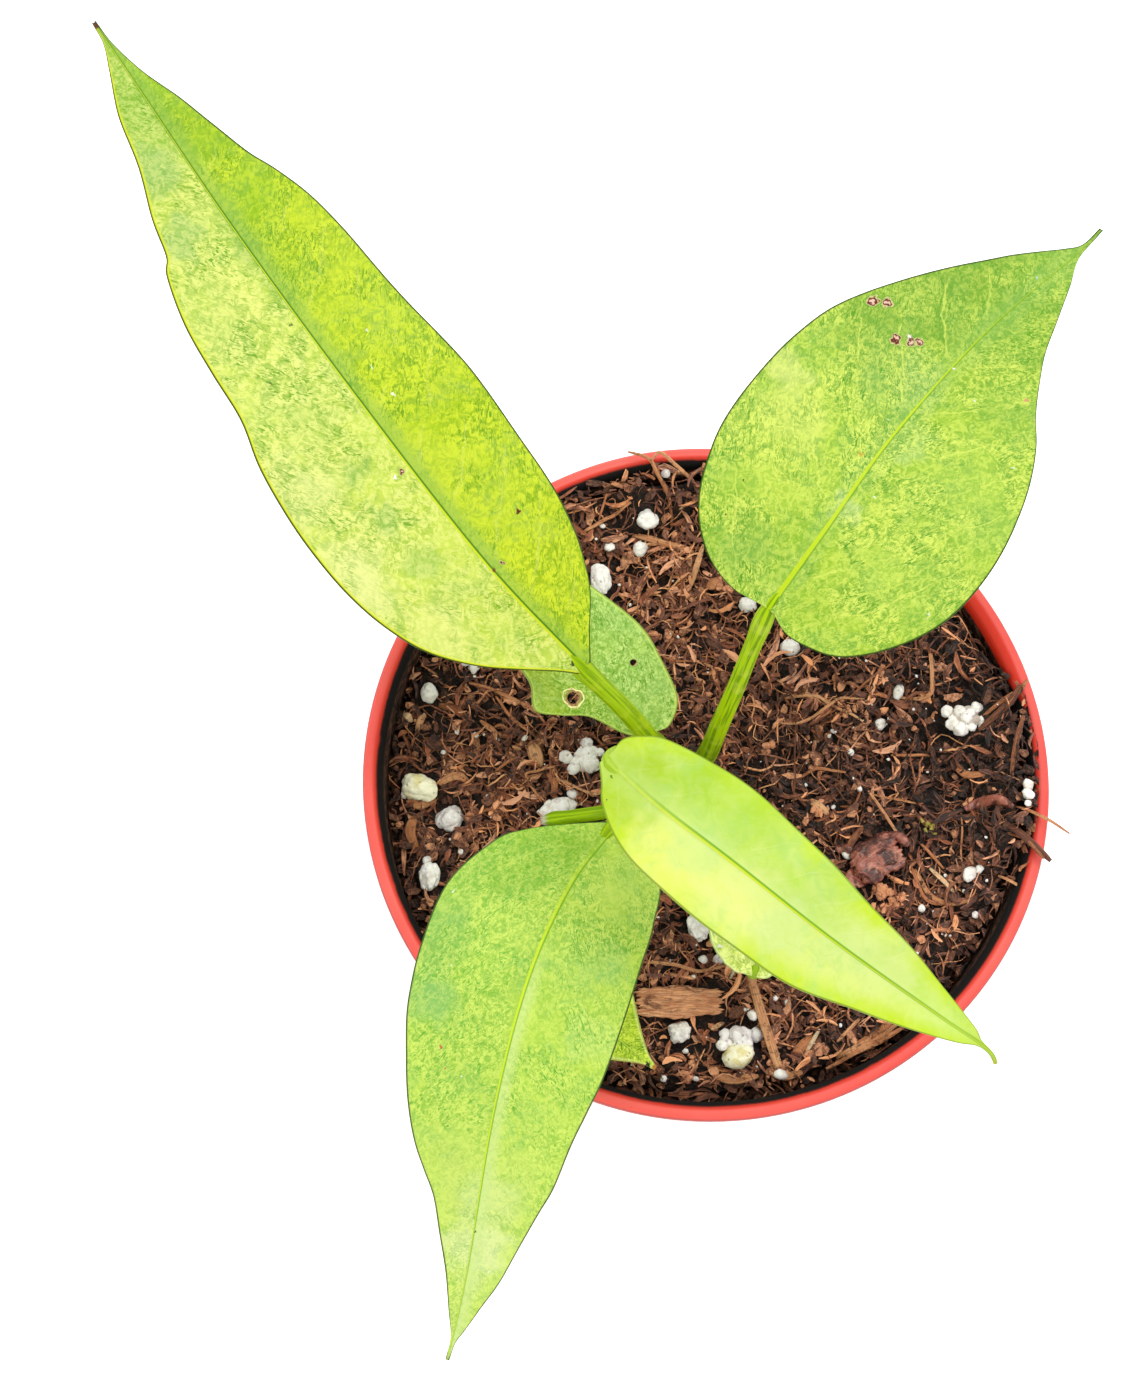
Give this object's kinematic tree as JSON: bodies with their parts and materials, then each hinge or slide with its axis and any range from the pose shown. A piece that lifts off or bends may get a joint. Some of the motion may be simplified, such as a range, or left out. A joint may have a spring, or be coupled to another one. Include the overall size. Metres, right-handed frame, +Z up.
{
  "type": "potted aroid house plant",
  "caption": "Young aroid house plant with mottled heart-shaped and lance-shaped leaves on slim stalks, growing in potting mix in a round tapered plastic nursery pot.",
  "frame": {"origin": "middle of the pot's flat base, on the pot's axis, where the pot stands", "axes": "+Z up along the pot's axis; +X and +Y lie in the base, +Y towards the tip side of the longest leaf and +X towards the heart-shaped leaf"},
  "size_m": [0.1463, 0.1858, 0.1568],
  "materials": {
    "pot": "satin moulded red plastic",
    "potting_mix": "rough coir fibre, bark and humus",
    "bark": "rough weathered bark",
    "perlite": "matt, foamed",
    "stem": "fibrous green and brown",
    "leaf_mature": "satin, mottled yellow green",
    "leaf_young": "soft gloss, pale yellow green",
    "leaf_old": "satin, veined green"
  },
  "bodies": {
    "root": {"pot": "pot", "soil": "potting_mix", "bark_slab": "bark", "bark_chunk": "bark", "perlite_01": "perlite", "perlite_02": "perlite", "perlite_03": "perlite", "perlite_04": "perlite", "perlite_05": "perlite", "perlite_06": "perlite", "perlite_07": "perlite", "perlite_08": "perlite", "perlite_09": "perlite", "perlite_10": "perlite", "perlite_11": "perlite", "perlite_12": "perlite", "perlite_13": "perlite", "perlite_14": "perlite", "stem": "stem", "leaf_upper_left": "leaf_mature", "leaf_upper_right": "leaf_mature", "leaf_lower_left": "leaf_mature", "leaf_young": "leaf_young", "leaf_old_holed": "leaf_old", "leaf_old_pointed": "leaf_old", "leaf_low": "leaf_old", "cut_stalk": "leaf_old"}
  },
  "joints": []
}
